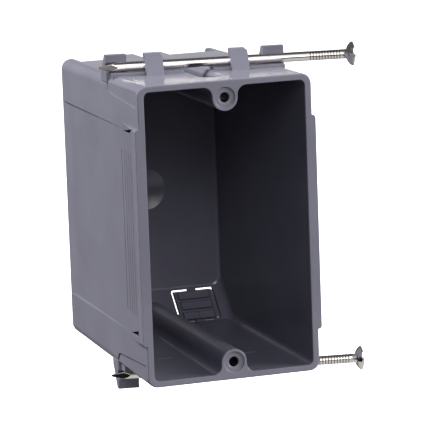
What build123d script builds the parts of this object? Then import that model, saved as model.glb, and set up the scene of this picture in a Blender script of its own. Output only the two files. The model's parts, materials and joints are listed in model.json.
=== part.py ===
from build123d import *
import math
import os

os.makedirs("parts", exist_ok=True)

# X points to the right, Y from the open front into the box and Z up, all sizes in millimetres.
# While it is drawn, the box has its rim on the plane y = 0.
# "End" walls are the top and bottom walls. Each end feature is drawn at the top and mirrored.

# Box shell
screw_spacing = 83.34
screw_to_outside = 5.53
rim_half_width = 28.4
box_depth = 87.0
side_taper = 1.3
end_taper = 1.5
long_corner_radius = 3.2
rear_edge_radius = 2.4
rim_edge_radius = 0.4
rim_half_height = screw_spacing / 2 + screw_to_outside

# Cavity
side_wall = 2.12
end_wall = 1.9
back_wall = 2.0
inner_side_taper = 1.08
inner_end_taper = 1.15
inner_corner_radius = 1.8
slant_corner_radius = 3.0
back_corner_radius = 1.0

# Slanted cable entries in the four rear corners
slant_drop = 13.0
pocket_x_near = 6.2
pocket_side_wall = 5.2
flap_wall = 1.5

# Break-in flap in each slanted wall
flap_margin_near = 1.0
flap_margin_far = 1.2
flap_margin_rear = 0.8
flap_height = 9.2
flap_near_slot = 0.9
flap_far_slot = 0.6
flap_end_slot = 0.75
flap_corner_radius = 0.7
bridge_width = 2.7
flap_ribs = 3
flap_rib_first = 1.0
flap_rib_pitch = 4.05
flap_rib_length = 3.3
flap_rib_height = 1.1
flap_rib_bevel = 0.8
flap_rib_inset_near = 0.9
flap_rib_inset_far = 1.2
bridge_rib_width = 0.9
bridge_rib_height = 1.3
bridge_rib_length = 2.6

# Screw bosses, ridges and outer channels
boss_radius = 4.1
boss_ring_radius = 3.3
boss_ring_depth = 0.5
ridge_fillet = 3.0
screw_hole_radius = 1.43
screw_hole_chamfer = 0.4
channel_half_width = 2.0
channel_front_y = 11.0
channel_mouth_radius = 2.9

# Nails
nail_lift = 2.18
nail_angle = 9.26
nail_y_at_centre = 27.47
nail_tip_reach = 1.9
nail_length = 82.0
nail_radius = 1.5
nail_head_radius = 3.8
nail_head_dome = 0.8
nail_head_rim = 0.4
nail_head_cone = 1.1
nail_point_length = 6.4
nail_point_end = 0.25

# Nail clips: hooks hold the nail from the front, half loops at the sides from the rear
nail_clearance = 0.08
ledge_front = 3.6
ledge_rear = 2.4
ledge_end_inset = 1.4
hook_cover_upper = 3.9
hook_cover_lower = 2.7
hook_x = 13.4
hook_width = 5.6
hook_foot_front = 5.6
hook_top_front = 1.0
hook_top_rear = 1.8
hook_corner_chamfer = 0.8
hook_mark_length = 1.1
hook_mark_depth = 0.2
loop_cover_upper = 3.9
loop_cover_lower_left = 4.6
loop_cover_lower_right = 2.3
loop_width = 6.85
loop_lip_front = 0.4
loop_foot_rear = 6.3
loop_top_rear = 2.5

# Side walls: sunk middle panel, nailing pad, gauge grooves and shallow front corners
panel_margin = 15.0
panel_depth = 0.7
panel_deep_y = 79.5
panel_flush_y = 17.0
pad_overlap = 1.8
pad_corner_radius = 1.0
pad_height = 1.1
pad_full_y = 4.0
gauge_first_y = 6.35
gauge_pitch = 3.175
gauge_count = 5
gauge_margin = 6.7
gauge_width = 0.35
gauge_depth = 0.2
corner_recess_front_y = 1.8
corner_recess_rear_y = 33.0
corner_recess_height = 6.9
corner_recess_rise = 1.6
corner_recess_depth = 0.35
corner_recess_radius = 4.0
pit_depth = 1.1

# Back wall
dimple_radius = 6.9
dimple_depth = 0.9

# How far a cutting shape runs past the surface it cuts
past = 3.0


def run_x(points, x_low, x_high):
    """A polygon of (y, z) points drawn out along X."""
    face = make_face(Plane.YZ.offset(x_low) * Polyline(*points, close=True))
    return extrude(face, x_high - x_low, dir=(1, 0, 0))


def run_z(points, z_low, z_high):
    """A polygon of (x, y) points drawn out along Z."""
    face = make_face(Plane.XY.offset(z_low) * Polyline(*points, close=True))
    return extrude(face, z_high - z_low, dir=(0, 0, 1))


def block(x_range, y_range, z_range):
    """A plain block between the given limits."""
    points = [(x_range[0], y_range[0]), (x_range[1], y_range[0]),
              (x_range[1], y_range[1]), (x_range[0], y_range[1])]
    return run_z(points, z_range[0], z_range[1])


def to_bottom(shape):
    return mirror(shape, about=Plane.XY)


def to_left(shape):
    return mirror(shape, about=Plane.YZ)


def side_x(y):
    """Half width of the outside of the box at a depth."""
    return rim_half_width - side_taper * y / box_depth


def end_z(y):
    """Half height of the outside of the box at a depth."""
    return rim_half_height - end_taper * y / box_depth


inner_depth = box_depth - back_wall


def inner_side_x(y):
    return rim_half_width - side_wall - inner_side_taper * y / inner_depth


def inner_end_z(y):
    return rim_half_height - end_wall - inner_end_taper * y / inner_depth


def along_y(edge):
    """True for an edge that runs mostly from front to rear."""
    run = edge.position_at(1) - edge.position_at(0)
    return abs(run.Y) > 0.9 * run.length


# Outside of the shell
tall = rim_half_height + 10
wide = rim_half_width + 10
side_outline = [(0, end_z(0)), (box_depth, end_z(box_depth)),
                (box_depth, -end_z(box_depth)), (0, -end_z(0))]
plan_outline = [(-side_x(0), 0), (side_x(0), 0),
                (side_x(box_depth), box_depth), (-side_x(box_depth), box_depth)]
plan_prism = run_z(plan_outline, -tall, tall)
outside = run_x(side_outline, -wide, wide) & plan_prism
outside = fillet(outside.edges().filter_by(along_y), long_corner_radius)
rear_edges = outside.faces().sort_by(Axis.Y)[-1].edges()
outside = fillet(rear_edges, rear_edge_radius)
rim_edges = outside.faces().sort_by(Axis.Y)[0].edges()
outside = fillet(rim_edges, rim_edge_radius)

# Slanted pocket outside each cable entry. The slant stands at 45 degrees, so y + z is
# the same all over its inner face, and again all over its outer face.
slant_rear_z = rim_half_height - slant_drop
slant_sum = inner_depth + slant_rear_z
pocket_sum = slant_sum + flap_wall * math.sqrt(2)
rear = box_depth + past
pocket_top = rim_half_height + past
pocket_x_far = rim_half_width - pocket_side_wall
pocket = run_x([(pocket_sum - pocket_top, pocket_top), (rear, pocket_sum - rear),
                (rear, pocket_top)], pocket_x_near, pocket_x_far)

# Sunk middle panel of the right wall
panel_half_height = rim_half_height - panel_margin
panel_cut = run_z([(side_x(panel_flush_y), panel_flush_y),
                   (side_x(panel_deep_y) - panel_depth, panel_deep_y),
                   (side_x(box_depth), box_depth), (wide, box_depth), (wide, panel_flush_y)],
                  -panel_half_height, panel_half_height)

# Shallow recess at the front corner of the side wall, behind a thin lip at the rim
recess_low_z = rim_half_height - corner_recess_height
corner_outline = [(corner_recess_front_y, recess_low_z),
                  (corner_recess_rear_y, recess_low_z + corner_recess_rise),
                  (corner_recess_rear_y, tall), (corner_recess_front_y, tall)]
corner_plan = [(side_x(0) - corner_recess_depth, 0), (wide, 0), (wide, box_depth),
               (side_x(box_depth) - corner_recess_depth, box_depth)]
corner_cut = run_x(corner_outline, inner_side_x(box_depth), wide)
corner_edge = corner_cut.edges().filter_by(Axis.X).sort_by(Axis.Z)[:2].sort_by(Axis.Y)[-1]
corner_cut = fillet(corner_edge, corner_recess_radius) & run_z(corner_plan, 0, tall)

# Nailing pad with gauge grooves, and the small pit at each end of the pad
pad_half_height = panel_half_height + pad_overlap
pad_root = inner_side_x(0) + 1
pad = run_z([(pad_root, 0), (side_x(0) + pad_height, 0),
             (side_x(pad_full_y) + pad_height, pad_full_y),
             (side_x(panel_flush_y), panel_flush_y),
             (pad_root, panel_flush_y)], -pad_half_height, pad_half_height)
pad_outline = RectangleRounded(2 * (side_x(0) + pad_height), 2 * pad_half_height, pad_corner_radius)
pad = pad & extrude(Plane.XZ * pad_outline, panel_flush_y, dir=(0, 1, 0))
gauge_half_length = panel_half_height - gauge_margin
grooves = []
for row in range(gauge_count):
    groove_y = gauge_first_y + row * gauge_pitch
    rise = pad_height * (panel_flush_y - groove_y) / (panel_flush_y - pad_full_y)
    floor_x = side_x(groove_y) + rise - gauge_depth
    groove_range = (groove_y - gauge_width / 2, groove_y + gauge_width / 2)
    grooves.append(block((floor_x, wide), groove_range, (-gauge_half_length, gauge_half_length)))
pit_floor = side_x(0) - pit_depth
upper_pit = run_x([(panel_flush_y - 1.0, panel_half_height - 0.6),
                   (pad_full_y - 0.7, panel_half_height + 1.6),
                   (pad_full_y + 2.6, panel_half_height - 0.1)], pit_floor, wide)
lower_pit = run_x([(panel_flush_y - 1.8, 0.1 - panel_half_height),
                   (pad_full_y + 0.5, 2.5 - panel_half_height),
                   (pad_full_y + 0.7, 0.5 - panel_half_height)], pit_floor, wide)

# Nail direction and the plane across it: local x points to the rear, local y points up
lean = math.radians(nail_angle)
along = Vector(math.cos(lean), -math.sin(lean), 0)
across = Vector(math.sin(lean), math.cos(lean), 0)


def nail_point(x):
    """Point of the nail's axis at a given X, at height zero."""
    return Vector(x, nail_y_at_centre - math.tan(lean) * x, 0)


def run_nail(face, x_low, x_high):
    """A face drawn across the nail, drawn out along the nail between two X values."""
    start = nail_point(x_low)
    length = (nail_point(x_high) - start).length
    return extrude(Plane(start, x_dir=across, z_dir=along) * face, length, dir=along)


def outline(*points):
    return make_face(Polyline(*points, close=True))


nail_height = rim_half_height + nail_lift
clip_radius = nail_radius + nail_clearance
ledge_top = nail_height - clip_radius
clip_root = rim_half_height - 2.5
clip_foot = end_z(nail_y_at_centre)
nail_hole = Pos(0, nail_height) * Circle(clip_radius)

ledge_face = outline((-ledge_front, clip_root), (-ledge_front, ledge_top),
                     (ledge_rear, ledge_top), (ledge_rear, clip_root))
ledge_end_x = rim_half_width - ledge_end_inset
ledge = run_nail(ledge_face, -wide, wide) & block((-ledge_end_x, ledge_end_x), (0, box_depth), (0, tall))


def hooks(cover):
    """The two front hooks, with the given height of plastic above the nail's axis."""
    top_z = nail_height + cover
    face = outline((-hook_foot_front, clip_root), (-hook_foot_front, clip_foot),
                   (-hook_top_front, top_z), (hook_top_rear, top_z), (hook_top_rear, clip_root))
    mouth = outline((0, ledge_top), (0, nail_height + clip_radius),
                    (past, nail_height + clip_radius), (past, ledge_top))
    made = []
    for x in (-hook_x, hook_x):
        hook = run_nail(face - nail_hole - mouth, x - hook_width / 2, x + hook_width / 2)
        corner = hook.faces().sort_by(Axis.Z)[-1].edges().sort_by(Axis.X)[-1]
        made.append(chamfer(corner, hook_corner_chamfer))
    return made[0] + made[1]


def loop(side, cover):
    """The half loop at the right (side 1) or left (side -1), flush with the side wall."""
    top_z = nail_height + cover
    face = outline((loop_lip_front, clip_root), (loop_lip_front, top_z),
                   (loop_top_rear, top_z), (loop_foot_rear, clip_foot),
                   (loop_foot_rear, clip_root)) - nail_hole
    x_range = sorted((side * (rim_half_width - loop_width), side * wide))
    return run_nail(face, -wide, wide) & plan_prism & block(x_range, (0, box_depth), (0, tall))


# Cavity with slanted rear corners
slant_front_y = (slant_sum - (rim_half_height - end_wall)) / (1 - inner_end_taper / inner_depth)
front = -past
cavity_side = [(front, inner_end_z(front)), (slant_front_y, slant_sum - slant_front_y),
               (inner_depth, slant_rear_z), (inner_depth, -slant_rear_z),
               (slant_front_y, slant_front_y - slant_sum), (front, -inner_end_z(front))]
cavity_plan = [(-inner_side_x(front), front), (inner_side_x(front), front),
               (inner_side_x(inner_depth), inner_depth), (-inner_side_x(inner_depth), inner_depth)]
cavity = run_x(cavity_side, -wide, wide) & run_z(cavity_plan, -tall, tall)


def beside_wall(edge):
    """True for a cavity edge that lies along a side wall, except at the open front."""
    middle = edge.position_at(0.5)
    return abs(middle.X) > rim_half_width / 2 and middle.Y > 0


def slanted(edge):
    """True for an edge that climbs along a slanted face."""
    run = edge.position_at(1) - edge.position_at(0)
    return 0.5 < abs(run.Y) / run.length < 0.9


# The slanted edges are rounded first, and wider than the long edges they lead into
cavity = fillet(cavity.edges().filter_by(beside_wall).filter_by(slanted), slant_corner_radius)
long_edges = cavity.edges().filter_by(beside_wall).filter_by(along_y)
cavity = fillet(long_edges.filter_by(lambda edge: edge.length > inner_depth / 2), inner_corner_radius)
back_edges = cavity.edges().filter_by(beside_wall).filter_by(Axis.Z)
cavity = fillet(back_edges.filter_by(lambda edge: edge.length > slant_rear_z), back_corner_radius)

# Ridge behind each screw boss, with hollow roundings where it meets the end wall
boss_z = screw_spacing / 2
ridge_top = rim_half_height - end_wall
toe_x = boss_radius + ridge_fillet
toe_z = ridge_top - ridge_fillet
hollow_mid = ridge_fillet * (1 - math.sqrt(0.5))
ridge_line = (Polyline((boss_radius, boss_z), (boss_radius, toe_z))
              + ThreePointArc((boss_radius, toe_z),
                              (boss_radius + hollow_mid, ridge_top - hollow_mid),
                              (toe_x, ridge_top))
              + Polyline((toe_x, ridge_top), (toe_x, ridge_top + 1),
                         (-toe_x, ridge_top + 1), (-toe_x, ridge_top))
              + ThreePointArc((-toe_x, ridge_top),
                              (-boss_radius - hollow_mid, ridge_top - hollow_mid),
                              (-boss_radius, toe_z))
              + Polyline((-boss_radius, toe_z), (-boss_radius, boss_z))
              + ThreePointArc((-boss_radius, boss_z), (0, boss_z - boss_radius),
                              (boss_radius, boss_z)))
ridge_face = make_face(Plane.XZ * ridge_line)
ridge = extrude(ridge_face, inner_depth + back_wall / 2, dir=(0, 1, 0)) & outside

# Channel outside each ridge: round floor, flared mouth, rounded closed front end
mouth_z = end_z(channel_front_y) + 0.05
flare_z = mouth_z - channel_mouth_radius
flare_x = channel_half_width + channel_mouth_radius
flare_mid = channel_mouth_radius * (1 - math.sqrt(0.5))
half_line = (Polyline((0, boss_z - channel_half_width), (0, tall), (flare_x, tall),
                      (flare_x, mouth_z))
             + ThreePointArc((flare_x, mouth_z),
                             (channel_half_width + flare_mid, mouth_z - flare_mid),
                             (channel_half_width, flare_z))
             + Polyline((channel_half_width, flare_z), (channel_half_width, boss_z))
             + ThreePointArc((channel_half_width, boss_z),
                             (channel_half_width * math.sqrt(0.5),
                              boss_z - channel_half_width * math.sqrt(0.5)),
                             (0, boss_z - channel_half_width)))
channel_turn_y = channel_front_y + channel_half_width
half_face = make_face(Plane.XZ.offset(-channel_turn_y) * half_line)
half_run = extrude(half_face, rear - channel_turn_y, dir=(0, 1, 0))
front_end = revolve(half_face, Axis((0, channel_turn_y, 0), (0, 0, 1)), 360)
channel = half_run + to_left(half_run) + front_end

# Device screw hole with its chamfer and the shallow ring round it
hole_end = channel_turn_y + 1
seat_y = boss_ring_depth + screw_hole_chamfer
hole_plane = Plane.XZ * Pos(0, boss_z)
screw_hole = extrude(hole_plane * Circle(screw_hole_radius), -hole_end)
ring = extrude(hole_plane * Circle(boss_ring_radius), -boss_ring_depth)
chamfer_plane = Plane.XZ.offset(-boss_ring_depth) * Pos(0, boss_z)
hole_chamfer = extrude(chamfer_plane * Circle(screw_hole_radius + screw_hole_chamfer),
                       -screw_hole_chamfer, taper=45)

# Flap: a slot ring cut straight along Y, with one bridge in each end slot
flap_x_near = pocket_x_near + flap_margin_near
flap_x_far = pocket_x_far - flap_margin_far
flap_z_low = slant_rear_z + flap_margin_rear
flap_z_high = flap_z_low + flap_height
bridge_x = (flap_x_near + flap_x_far) / 2
flap_z = (flap_z_low, flap_z_high)
slot_y = (slant_front_y - 4, rear)
opening_plane = Plane.XZ.offset(-slot_y[0]) * Pos(bridge_x, sum(flap_z) / 2)
opening = RectangleRounded(flap_x_far - flap_x_near, flap_height, flap_corner_radius)
slots = extrude(opening_plane * opening, rear - slot_y[0], dir=(0, 1, 0))
slots -= block((flap_x_near + flap_near_slot, flap_x_far - flap_far_slot), slot_y,
               (flap_z_low + flap_end_slot, flap_z_high - flap_end_slot))
slots -= block((bridge_x - bridge_width / 2, bridge_x + bridge_width / 2), slot_y, flap_z)


def on_slant(distance, height):
    """(y, z) of a point on the slanted inner face: distance from the flap's edge, height above it."""
    step = math.sqrt(0.5)
    start_y = slant_sum - flap_z_low
    return (start_y - step * (distance + height), flap_z_low + step * (distance - height))


# Ribs across the inner face of each flap, bevelled all round but at the edge towards the rim,
# and a short upright rib at the outer bridge
root = -flap_wall / 4
rib_low = flap_x_near + flap_near_slot + flap_rib_inset_near
rib_high = flap_x_far - flap_far_slot - flap_rib_inset_far
ribs = []
for row in range(flap_ribs):
    first = flap_rib_first + row * flap_rib_pitch
    last = first + flap_rib_length
    rib = run_x([on_slant(first, root), on_slant(first, flap_rib_height - flap_rib_bevel),
                 on_slant(first + flap_rib_bevel, flap_rib_height),
                 on_slant(last, flap_rib_height), on_slant(last, root)], rib_low, rib_high)
    for end in (rib.faces().sort_by(Axis.X)[0], rib.faces().sort_by(Axis.X)[-1]):
        top_edge = end.edges().sort_by(lambda edge: edge.center().Y + edge.center().Z)[0]
        rib = chamfer(top_edge, flap_rib_bevel)
    ribs.append(rib)
upright = flap_rib_first + (flap_ribs - 1) * flap_rib_pitch + flap_rib_length / 4
ribs.append(run_x([on_slant(upright, root), on_slant(upright, bridge_rib_height),
                   on_slant(upright + bridge_rib_length, bridge_rib_height),
                   on_slant(upright + bridge_rib_length, root)],
                  bridge_x - bridge_rib_width / 2, bridge_x + bridge_rib_width / 2))

# Faint marks inside the end wall, under the hooks
marks = []
for x in (-hook_x, hook_x):
    mark_y = nail_point(x).Y - hook_mark_length
    mark_z = inner_end_z(mark_y) - 1
    marks.append(block((x - hook_width / 2, x + hook_width / 2), (mark_y, mark_y + hook_mark_length),
                       (mark_z, mark_z + 1 + hook_mark_depth)))

# Put the moulding together
body = outside
for cut in (pocket, corner_cut):
    body = body - cut - to_left(cut) - to_bottom(cut) - to_bottom(to_left(cut))
body = body - panel_cut - to_left(panel_cut)
body = body + pad + to_left(pad)
for cut in grooves + [upper_pit, lower_pit]:
    body = body - cut - to_left(cut)
for side, cover in ((-1, loop_cover_upper), (1, loop_cover_upper)):
    body = body + loop(side, cover)
for side, cover in ((-1, loop_cover_lower_left), (1, loop_cover_lower_right)):
    body = body + to_bottom(loop(side, cover))
body = body + ledge + hooks(hook_cover_upper) + to_bottom(ledge + hooks(hook_cover_lower))
body = body - cavity
for cut in marks:
    body = body - cut - to_bottom(cut)
body = body + ridge + to_bottom(ridge)
for cut in (channel, ring, hole_chamfer, screw_hole):
    body = body - cut - to_bottom(cut)
body = body - slots - to_left(slots) - to_bottom(slots) - to_bottom(to_left(slots))
for piece in ribs:
    body = body + piece + to_left(piece) + to_bottom(piece) + to_bottom(to_left(piece))
dish_radius = (dimple_radius ** 2 + dimple_depth ** 2) / (2 * dimple_depth)
dish = Pos(0, inner_depth + dimple_depth - dish_radius, 0) * Sphere(dish_radius)
dish = dish & block((-dimple_radius, dimple_radius), (inner_depth - dimple_depth, box_depth),
                    (-dimple_radius, dimple_radius))
body = body - dish

# Nail: head, shank and four-sided point, drawn along local Z from the head
rim_end = nail_head_dome + nail_head_rim
head_end = rim_end + nail_head_cone
nail_line = (TangentArc((0, 0), (nail_head_radius, nail_head_dome), tangent=(1, 0))
             + Polyline((nail_head_radius, nail_head_dome), (nail_head_radius, rim_end),
                        (nail_radius, head_end), (nail_radius, nail_length), (0, nail_length),
                        (0, 0)))
nail = revolve(make_face(Plane.XZ * nail_line), Axis.Z, 360)
point_start = nail_length - nail_point_length
point_half = nail_radius * 1.12
point_line = Polyline((point_half, 0), (point_half, point_start), (nail_point_end, nail_length),
                      (-nail_point_end, nail_length), (-point_half, point_start),
                      (-point_half, 0), close=True)
point_x = extrude(make_face(Plane.XZ * point_line), nail_head_radius, both=True)
point_y = extrude(make_face(Plane.YZ * point_line), nail_head_radius, both=True)
head_room = extrude(Circle(nail_head_radius + 1), point_start / 2)
nail = nail & (head_room + (point_x & point_y))


def placed_nail(height):
    """The nail with its head to the right and its axis at the given height."""
    head = nail_point(-rim_half_width - nail_tip_reach) + along * nail_length + Vector(0, 0, height)
    return Plane(head, x_dir=(0, 0, 1), z_dir=along * -1).location * nail


# The frame's origin sits midway between the two screw holes, where their straight walls begin
to_frame = Pos(0, -seat_y, 0)
export_step(to_frame * body, "parts/box_body.step")
export_step(to_frame * placed_nail(nail_height), "parts/upper_nail.step")
export_step(to_frame * placed_nail(-nail_height), "parts/lower_nail.step")
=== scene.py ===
import json
import math

import bpy
from mathutils import Matrix, Vector


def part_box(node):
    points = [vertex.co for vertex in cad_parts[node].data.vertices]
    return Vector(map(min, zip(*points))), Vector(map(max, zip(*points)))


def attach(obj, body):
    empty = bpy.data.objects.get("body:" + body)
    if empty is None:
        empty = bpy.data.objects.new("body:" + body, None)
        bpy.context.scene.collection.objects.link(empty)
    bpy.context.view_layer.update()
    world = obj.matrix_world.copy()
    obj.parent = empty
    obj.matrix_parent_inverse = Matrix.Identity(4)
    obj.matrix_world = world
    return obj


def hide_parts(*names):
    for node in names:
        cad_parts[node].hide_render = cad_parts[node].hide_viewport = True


MM = 0.001

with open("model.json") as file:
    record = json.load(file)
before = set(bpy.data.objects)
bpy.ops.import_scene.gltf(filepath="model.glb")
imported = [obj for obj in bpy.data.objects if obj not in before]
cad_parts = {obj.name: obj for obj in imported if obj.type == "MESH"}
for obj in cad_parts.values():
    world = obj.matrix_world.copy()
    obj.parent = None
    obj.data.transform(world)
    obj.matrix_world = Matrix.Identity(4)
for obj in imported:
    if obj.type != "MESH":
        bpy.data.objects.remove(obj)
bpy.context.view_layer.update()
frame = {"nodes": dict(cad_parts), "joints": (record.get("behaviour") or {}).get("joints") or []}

BOX = frame["nodes"]["box_body"]


# Camera, fitted to the photograph

AZIMUTH = math.radians(-18.69)
ELEVATION = math.radians(10.25)
ROLL = math.radians(-2.076)
TARGET = Vector((-4.64, -0.9, 5.41)) * MM
DISTANCE = 1082.6 * MM
FOCAL_PIXELS = 3502.2
IMAGE_PIXELS = 430
SENSOR = 36.0
CLIP_START, CLIP_END = 0.01, 20


def add_camera():
    """A camera at the photograph's angle, roll and distance."""
    back = Vector((math.sin(AZIMUTH) * math.cos(ELEVATION),
                   -math.cos(AZIMUTH) * math.cos(ELEVATION),
                   math.sin(ELEVATION)))
    right = (-back).cross(Vector((0, 0, 1))).normalized()
    up = right.cross(-back)
    side = right * math.cos(ROLL) + up * math.sin(ROLL)
    top = up * math.cos(ROLL) - right * math.sin(ROLL)
    data = bpy.data.cameras.new("camera")
    data.sensor_width = SENSOR
    data.lens = FOCAL_PIXELS * SENSOR / IMAGE_PIXELS
    data.clip_start = CLIP_START
    data.clip_end = CLIP_END
    camera = bpy.data.objects.new("camera", data)
    bpy.context.collection.objects.link(camera)
    place = Matrix((side, top, back)).transposed().to_4x4()
    place.translation = TARGET + back * DISTANCE
    camera.matrix_world = place
    bpy.context.scene.camera = camera


# Node helpers

NOISE_ENDS = (0.3, 0.7)
BEVEL_SAMPLES = 6


def new_material(name):
    material = bpy.data.materials.new(name)
    material.use_nodes = True
    tree = material.node_tree
    return material, tree, tree.nodes["Principled BSDF"]


def add(tree, kind, **inputs):
    """A node with its inputs set; an underscore stands for a space in an input's name."""
    node = tree.nodes.new(kind)
    for name, value in inputs.items():
        node.inputs[name.replace("_", " ")].default_value = value
    return node


def ramp(tree, source, stops):
    """A colour ramp from (position, colour) stops, fed by a socket."""
    node = tree.nodes.new("ShaderNodeValToRGB")
    elements = node.color_ramp.elements
    while len(elements) < len(stops):
        elements.new(0.5)
    for element, (position, colour) in zip(elements, stops):
        element.position = position
        element.color = (*colour, 1)
    tree.links.new(source, node.inputs["Fac"])
    return node.outputs["Color"]


def drift(tree, cloud, tones):
    """A colour that drifts between two tones with a noise."""
    return ramp(tree, cloud, list(zip(NOISE_ENDS, tones)))


def drift_number(tree, cloud, numbers):
    """A number that drifts between two ends with a noise."""
    return drift(tree, cloud, [(number,) * 3 for number in numbers])


def noise(tree, scale, detail, roughness=0.5, stretch=(1, 1, 1)):
    """A noise on the object's own coordinates, drawn out along an axis with a small factor."""
    place = tree.nodes.new("ShaderNodeTexCoord")
    mapping = add(tree, "ShaderNodeMapping", Scale=stretch)
    tree.links.new(place.outputs["Object"], mapping.inputs["Vector"])
    node = add(tree, "ShaderNodeTexNoise", Scale=scale, Detail=detail, Roughness=roughness)
    tree.links.new(mapping.outputs["Vector"], node.inputs["Vector"])
    return node.outputs["Fac"]


def calc(tree, operation, *values):
    """The result of one maths operation on floats and sockets."""
    node = tree.nodes.new("ShaderNodeMath")
    node.operation = operation
    for socket, value in zip(node.inputs, values):
        if isinstance(value, float):
            socket.default_value = value
        else:
            tree.links.new(value, socket)
    return node.outputs[0]


def fade(tree, value, start, end):
    """Zero up to the start, and one from the end on."""
    node = add(tree, "ShaderNodeMapRange", From_Min=start, From_Max=end)
    tree.links.new(value, node.inputs["Value"])
    return node.outputs[0]


def axes(tree, coordinates):
    """The x, y and z sockets of one of the texture coordinates."""
    place = tree.nodes.new("ShaderNodeTexCoord")
    split = tree.nodes.new("ShaderNodeSeparateXYZ")
    tree.links.new(place.outputs[coordinates], split.inputs[0])
    return split.outputs


def blend(tree, mask, first, second):
    """The first colour where the mask is zero, and the second where it is one."""
    node = tree.nodes.new("ShaderNodeMix")
    node.data_type = "RGBA"
    tree.links.new(mask, node.inputs["Factor"])
    tree.links.new(first, node.inputs[6])
    tree.links.new(second, node.inputs[7])
    return node.outputs[2]


def mix_shaders(tree, mask, first, second):
    node = tree.nodes.new("ShaderNodeMixShader")
    tree.links.new(mask, node.inputs["Fac"])
    tree.links.new(first, node.inputs[1])
    tree.links.new(second, node.inputs[2])
    return node.outputs[0]


def bevelled_bump(tree, shader, height, strength, distance, edge_radius):
    """Fine surface relief over edges that look rounded by the given radius."""
    edge = add(tree, "ShaderNodeBevel", Radius=edge_radius)
    edge.samples = BEVEL_SAMPLES
    bump = add(tree, "ShaderNodeBump", Strength=strength, Distance=distance)
    tree.links.new(height, bump.inputs["Height"])
    tree.links.new(edge.outputs["Normal"], bump.inputs["Normal"])
    tree.links.new(bump.outputs["Normal"], shader.inputs["Normal"])


def paint(obj, material):
    obj.data.materials.clear()
    obj.data.materials.append(material)


# Materials: each colour or roughness is a pair, the two ends that a noise drifts between

PLASTIC = ((0.190, 0.187, 0.232), (0.215, 0.212, 0.262))
# Painted shade on the walls inside the box, where less light reaches them
INSIDE_PAINTED_SHADE = ((0.118, 0.116, 0.156), (0.136, 0.134, 0.178))
# Painted shade in grooves, slots and other recesses
RECESS_PAINTED_SHADE = ((0.055, 0.054, 0.068), (0.065, 0.064, 0.080))
# Painted shade in the screw holes
SCREW_HOLE_PAINTED_SHADE = ((0.010, 0.010, 0.013), (0.016, 0.016, 0.020))
PLASTIC_ROUGHNESS = (0.17, 0.20)
STEEL = ((0.78, 0.735, 0.70), (0.90, 0.855, 0.82))
# Painted shade at the bottom of the grip marks
GRIP_MARK_PAINTED_SHADE = ((0.16, 0.145, 0.135), (0.24, 0.22, 0.205))
STEEL_ROUGHNESS = (0.06, 0.12)

# The walls inside narrow with the depth; the sizes are those at the front
INSIDE_FRONT = -0.3 * MM
INSIDE_HALF_WIDTH = 27.3 * MM
INSIDE_HALF_HEIGHT = 46.25 * MM
INSIDE_TAPER = -0.0143
INSIDE_BLUR = 0.4 * MM
HOLE_Z = 41.67 * MM
HOLE_RADIUS = 1.6 * MM
HOLE_BLUR = 0.1 * MM
RECESS_REACH = 2.0 * MM
RECESS_SHUT, RECESS_OPEN = 0.1, 0.55
RECESS_SAMPLES = 8


def inside_shade_mask(tree):
    """One on the walls inside the box, which carry painted shade, and zero on the rim and outside.
    """
    x, y, z = axes(tree, "Object")
    depth = calc(tree, "SUBTRACT", y, INSIDE_FRONT)
    for across, half in ((x, INSIDE_HALF_WIDTH), (z, INSIDE_HALF_HEIGHT)):
        wall = calc(tree, "MULTIPLY_ADD", y, INSIDE_TAPER, half)
        inward = calc(tree, "SUBTRACT", wall, calc(tree, "ABSOLUTE", across))
        depth = calc(tree, "MINIMUM", depth, inward)
    return fade(tree, depth, 0.0, INSIDE_BLUR)


def hole_shade_mask(tree):
    """One in the two screw holes, which hardly any light reaches; their shade is painted."""
    x, y, z = axes(tree, "Object")
    rise = calc(tree, "SUBTRACT", calc(tree, "ABSOLUTE", z), HOLE_Z)
    square = calc(tree, "ADD", calc(tree, "MULTIPLY", x, x), calc(tree, "MULTIPLY", rise, rise))
    inward = calc(tree, "SUBTRACT", HOLE_RADIUS, calc(tree, "SQRT", square))
    depth = calc(tree, "MINIMUM", calc(tree, "SUBTRACT", y, INSIDE_FRONT), inward)
    return fade(tree, depth, 0.0, HOLE_BLUR)


def recess_shade_mask(tree):
    """One on open faces, and less in grooves and slots, where painted shade falls."""
    near = add(tree, "ShaderNodeAmbientOcclusion", Distance=RECESS_REACH)
    near.samples = RECESS_SAMPLES
    near.only_local = True
    return fade(tree, near.outputs["AO"], RECESS_SHUT, RECESS_OPEN)


def plastic_material():
    """Semi-gloss moulded grey, with painted shade inside the box, in the recesses and in the screw
    holes.
    """
    material, tree, shader = new_material("grey_plastic")
    cloud = noise(tree, 60.0, 3.0)
    plain, inside_shade, recess_shade, hole_shade = (drift(tree, cloud, tones) for tones in
                                  (PLASTIC, INSIDE_PAINTED_SHADE, RECESS_PAINTED_SHADE, SCREW_HOLE_PAINTED_SHADE))
    walls = blend(tree, inside_shade_mask(tree), plain, inside_shade)
    shaded = blend(tree, recess_shade_mask(tree), recess_shade, walls)
    tree.links.new(blend(tree, hole_shade_mask(tree), shaded, hole_shade), shader.inputs["Base Color"])
    streaks = noise(tree, 260.0, 1.0, stretch=(1, 0.06, 1))
    tree.links.new(drift_number(tree, streaks, PLASTIC_ROUGHNESS), shader.inputs["Roughness"])
    bevelled_bump(tree, shader, cloud, strength=0.15, distance=0.2 * MM, edge_radius=0.35 * MM)
    shader.inputs["IOR"].default_value = 1.5
    return material


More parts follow.
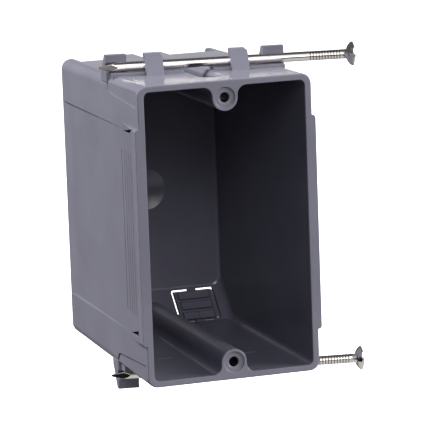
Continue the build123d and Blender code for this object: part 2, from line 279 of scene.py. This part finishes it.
def steel_material():
    """Bright plating, with painted shade at the bottom of the grip marks."""
    material, tree, shader = new_material("plated_steel")
    shader.inputs["Metallic"].default_value = 1.0
    cloud = noise(tree, 240.0, 3.0)
    marks = tree.nodes.new("ShaderNodeAttribute")
    marks.attribute_name = "grip"
    bright, groove_shade = (drift(tree, cloud, tones) for tones in (STEEL, GRIP_MARK_PAINTED_SHADE))
    tree.links.new(blend(tree, marks.outputs["Fac"], bright, groove_shade), shader.inputs["Base Color"])
    grain = noise(tree, 900.0, 5.0, roughness=0.6, stretch=(0.2, 1, 1))
    tree.links.new(drift_number(tree, grain, STEEL_ROUGHNESS), shader.inputs["Roughness"])
    bevelled_bump(tree, shader, grain, strength=0.1, distance=0.1 * MM, edge_radius=0.03 * MM)
    return material


# Nails: head, shank with its grip marks and four-sided point, in place of the plain CAD ones

NAIL_RADIUS = 1.5 * MM
HEAD_RADIUS = 3.8 * MM
HEAD_DOME = 0.8 * MM
HEAD_RIM = 0.4 * MM
HEAD_CONE = 1.5 * MM
HEAD_BOW = 0.55
GRIP_FIRST = 5.2 * MM
GRIP_PITCH = 0.95 * MM
GRIP_COUNT = 11
GRIP_HALF_WIDTH = 0.19 * MM
GRIP_DEPTH = 0.09 * MM
GRIP_STEPS = (-1.3, -1, -0.4, 0.4, 1, 1.3)
GRIP_FLANK = 0.6
POINT_LENGTH = 6.4 * MM
POINT_LEAD = 1.0 * MM
POINT_HALF_START = 1.68 * MM
POINT_HALF_END = 0.25 * MM
DOME_STEPS = 12
CONE_STEPS = 8
POINT_STEPS = 32
AROUND = 64


def head_profile():
    """(distance from the apex, radius, grip) of the dome, the rim and the bowed underside."""
    profile = []
    ball = (HEAD_RADIUS ** 2 + HEAD_DOME ** 2) / (2 * HEAD_DOME)
    for step in range(DOME_STEPS + 1):
        radius = HEAD_RADIUS * step / DOME_STEPS
        profile.append((ball - math.sqrt(ball ** 2 - radius ** 2), radius, 0.0))
    profile.append((HEAD_DOME + HEAD_RIM / 2, HEAD_RADIUS, 0.0))
    for step in range(CONE_STEPS + 1):
        share = step / CONE_STEPS
        bow = (HEAD_RADIUS - NAIL_RADIUS) * (1 - share) ** HEAD_BOW
        profile.append((HEAD_DOME + HEAD_RIM + HEAD_CONE * share, NAIL_RADIUS + bow, 0.0))
    return profile


def grip_profile():
    """(distance, radius, grip) of the ring marks; grip is one at the bottom of a mark."""
    profile = []
    for mark in range(GRIP_COUNT):
        middle = GRIP_FIRST + mark * GRIP_PITCH
        for step in GRIP_STEPS:
            grip = min(1.0, max(0.0, 1 - abs(step)) / GRIP_FLANK)
            profile.append((middle + step * GRIP_HALF_WIDTH, NAIL_RADIUS - GRIP_DEPTH * grip, grip))
    return profile


def point_profile(start):
    """(distance, radius, grip) from just before the point, ahead of its four cuts."""
    steps = [start + POINT_LENGTH * step / POINT_STEPS for step in range(POINT_STEPS + 1)]
    return [(distance, NAIL_RADIUS, 0.0) for distance in [start - POINT_LEAD, *steps]]


def ring(centre, up, side, radius, half):
    """The points round the nail at one place, cut to a square with the given half side."""
    points = []
    for turn in range(AROUND):
        angle = 2 * math.pi * turn / AROUND
        rise, across = math.cos(angle), math.sin(angle)
        reach = min(radius, half / max(abs(rise), abs(across)))
        points.append(centre + up * (rise * reach) + side * (across * reach))
    return points


def tube_faces(tip):
    """Faces between rings of points, and from the last ring to the tip, which follows it."""
    faces = []
    last = tip - AROUND
    for base in range(0, last, AROUND):
        ahead = base + AROUND
        for turn in range(AROUND):
            after = (turn + 1) % AROUND
            faces.append((base + turn, ahead + turn, ahead + after, base + after))
    return faces + [(last + turn, tip, last + (turn + 1) % AROUND) for turn in range(AROUND)]


def nail_mesh(name, node, drive):
    """A detailed nail in the place of a CAD one; drive points from its head to its point."""
    corners = [vertex.co for vertex in node.data.vertices]
    run = [corner.dot(drive) for corner in corners]
    length = max(run) - min(run)
    low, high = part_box(node.name)
    apex = corners[run.index(min(run))].copy()
    apex.z = (low[2] + high[2]) / 2
    up = Vector((0, 0, 1))
    side = drive.cross(up)
    point_start = length - POINT_LENGTH

    vertices, grips = [], []
    for distance, radius, grip in head_profile() + grip_profile() + point_profile(point_start):
        half = math.inf
        if distance > point_start:
            share = (distance - point_start) / POINT_LENGTH
            half = POINT_HALF_START + (POINT_HALF_END - POINT_HALF_START) * share
        vertices += ring(apex + drive * distance, up, side, radius, half)
        grips += [grip] * AROUND
    tip = len(vertices)
    vertices.append(apex + drive * length)
    grips.append(0.0)

    mesh = bpy.data.meshes.new(name)
    mesh.from_pydata(vertices, [], tube_faces(tip))
    mesh.validate()
    mesh.shade_smooth()
    mesh.attributes.new("grip", "FLOAT", "POINT").data.foreach_set("value", grips)
    nail = bpy.data.objects.new(name, mesh)
    bpy.context.collection.objects.link(nail)
    return nail


def add_nails(material):
    for joint in frame["joints"]:
        body = joint["child"]
        node = frame["nodes"][body.removesuffix("_body")]
        nail = nail_mesh(node.name + "_detail", node, Vector(joint["axis"]).normalized())
        paint(nail, material)
        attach(nail, body)
        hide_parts(node.name)


# Stage: white to the eye, but with little light thrown back from the floor

FLOOR_Z = -0.095
FLOOR_SIZE = 3.0
FLOOR_TONE = (0.9, 0.9, 0.9, 1)
FLOOR_GLOW = 0.80
BOUNCE_TONE = (0.06, 0.06, 0.06, 1)
WHITE = (1, 1, 1, 1)
BLACK = (0, 0, 0, 1)
# The sky's tones, from straight down at 0 to straight up at 1
SKY = ((0.4, (0.02, 0.02, 0.022)), (0.52, (0.16, 0.16, 0.175)), (0.95, (0.40, 0.40, 0.42)))


def shown_rays(tree):
    """One for the rays that show the background: camera, reflected and transmitted ones."""
    path = tree.nodes.new("ShaderNodeLightPath")
    camera, clear, glossy = (path.outputs[name] for name in
                             ("Is Camera Ray", "Is Transmission Ray", "Is Glossy Ray"))
    return calc(tree, "MAXIMUM", calc(tree, "MAXIMUM", camera, clear), glossy)


def add_world():
    """White to the camera and in reflections, and a soft studio sky for the light itself."""
    world = bpy.data.worlds.new("world")
    bpy.context.scene.world = world
    world.use_nodes = True
    tree = world.node_tree
    sky = tree.nodes["Background"]
    height = fade(tree, axes(tree, "Generated")["Z"], -1.0, 1.0)
    tree.links.new(ramp(tree, height, SKY), sky.inputs["Color"])
    shown = add(tree, "ShaderNodeBackground", Color=WHITE, Strength=1.0)
    surface = mix_shaders(tree, shown_rays(tree), sky.outputs[0], shown.outputs[0])
    tree.links.new(surface, tree.nodes["World Output"].inputs["Surface"])


def add_card(name, corners):
    """A single flat face."""
    mesh = bpy.data.meshes.new(name)
    mesh.from_pydata(corners, [], [(0, 1, 2, 3)])
    card = bpy.data.objects.new(name, mesh)
    bpy.context.collection.objects.link(card)
    return card


def add_floor():
    signs = ((-1, -1), (1, -1), (1, 1), (-1, 1))
    floor = add_card("floor", [(x * FLOOR_SIZE, y * FLOOR_SIZE, FLOOR_Z) for x, y in signs])
    material, tree, shader = new_material("floor")
    shader.inputs["Base Color"].default_value = FLOOR_TONE
    shader.inputs["Roughness"].default_value = 1.0
    shader.inputs["Emission Color"].default_value = WHITE
    shader.inputs["Emission Strength"].default_value = FLOOR_GLOW
    bounce = add(tree, "ShaderNodeBsdfDiffuse", Color=BOUNCE_TONE)
    surface = mix_shaders(tree, shown_rays(tree), bounce.outputs[0], shader.outputs[0])
    tree.links.new(surface, tree.nodes["Material Output"].inputs["Surface"])
    paint(floor, material)


# Lamps: name, place, size, watts and whether it shows in reflections

LAMP_AIM = Vector((0, 0.04, 0))
LAMPS = (
    ("lamp_left", Vector((-0.85, 0.5, 0.85)), 0.6, 26, False),
    ("lamp_right", Vector((1.1, -0.4, 0.35)), 0.8, 18, True),
    ("lamp_front_high", Vector((-0.15, -0.95, 0.6)), 0.4, 3.6, True),
    ("lamp_front_low", Vector((0.1, -1.0, 0.33)), 0.4, 0.9, True),
)


def add_lamps():
    for name, place, size, watts, mirrored in LAMPS:
        data = bpy.data.lights.new(name, "AREA")
        data.shape = "DISK"
        data.size = size
        data.energy = watts
        lamp = bpy.data.objects.new(name, data)
        bpy.context.collection.objects.link(lamp)
        lamp.location = place
        lamp.visible_glossy = mirrored
        lamp.rotation_euler = (LAMP_AIM - place).to_track_quat("-Z", "Y").to_euler()


# Flags: cards of one tone that are seen in reflections alone

DARK, FAINT, DIM, DUSK, SHADE, MIDDLE, PALE = 0.01, 0.05, 0.10, 0.20, 0.22, 0.36, 0.60
FLAG_LOW = FLOOR_Z + 2 * MM

# Standing over a line: name, start and end as (x, y), bottom, top, tone
UPRIGHT_FLAGS = (
    ("flag_left", (-0.9, -0.05), (-0.04, 0.25), FLAG_LOW, 0.0, FAINT),
    ("flag_left_top", (-0.9, -0.05), (-0.04, 0.25), 0.0, 0.25, DIM),
    ("flag_left_high", (-1.3, -1.6), (-1.3, 0.9), FLAG_LOW, 1.6, DUSK),
    ("flag_front", (-1.6, -1.5), (1.6, -1.5), FLAG_LOW, 0.02, DARK),
    ("flag_back_left", (-0.6, 0.5), (0.085, 0.5), FLAG_LOW, 0.3, DIM),
    ("flag_back", (-0.3, 1.6), (1.8, 1.6), FLAG_LOW, 0.55, MIDDLE),
)

# Lying flat: name, x range, y range, height, tone
FLAT_FLAGS = (
    ("flag_floor_front", (-0.08, 1.5), (-1.6, -0.3), FLAG_LOW, DARK),
    ("flag_floor_front_left", (-1.5, -0.08), (-1.6, -0.3), FLAG_LOW, SHADE),
    ("flag_floor_near", (-0.04, 1.5), (-0.3, 0.06), FLAG_LOW, PALE),
    ("flag_floor_back", (-0.04, 1.5), (0.06, 1.59), FLAG_LOW, DUSK),
    ("flag_floor_left", (-1.5, -0.04), (-0.3, 0.6), FLAG_LOW, DARK),
    ("flag_above", (-1.5, 1.5), (-0.42, 2.4), 0.9, DIM),
)


def add_flag(name, corners, tone):
    flag = add_card(name, corners)
    flag.visible_camera = False
    flag.visible_diffuse = False
    flag.visible_transmission = False
    flag.visible_shadow = False
    material, tree, shader = new_material(name)
    shader.inputs["Base Color"].default_value = BLACK
    shader.inputs["Roughness"].default_value = 1.0
    shader.inputs["Specular IOR Level"].default_value = 0.0
    shader.inputs["Emission Color"].default_value = WHITE
    shader.inputs["Emission Strength"].default_value = tone
    paint(flag, material)


def add_flags():
    for name, start, end, low, high, tone in UPRIGHT_FLAGS:
        add_flag(name, [(*start, low), (*end, low), (*end, high), (*start, high)], tone)
    for name, (left, right), (front, back), height, tone in FLAT_FLAGS:
        add_flag(name, [(left, front, height), (right, front, height),
                        (right, back, height), (left, back, height)], tone)


bpy.context.scene.view_settings.view_transform = "Standard"
add_camera()
plastic = plastic_material()
steel = steel_material()
paint(BOX, plastic)
add_nails(steel)
add_world()
add_floor()
add_lamps()
add_flags()
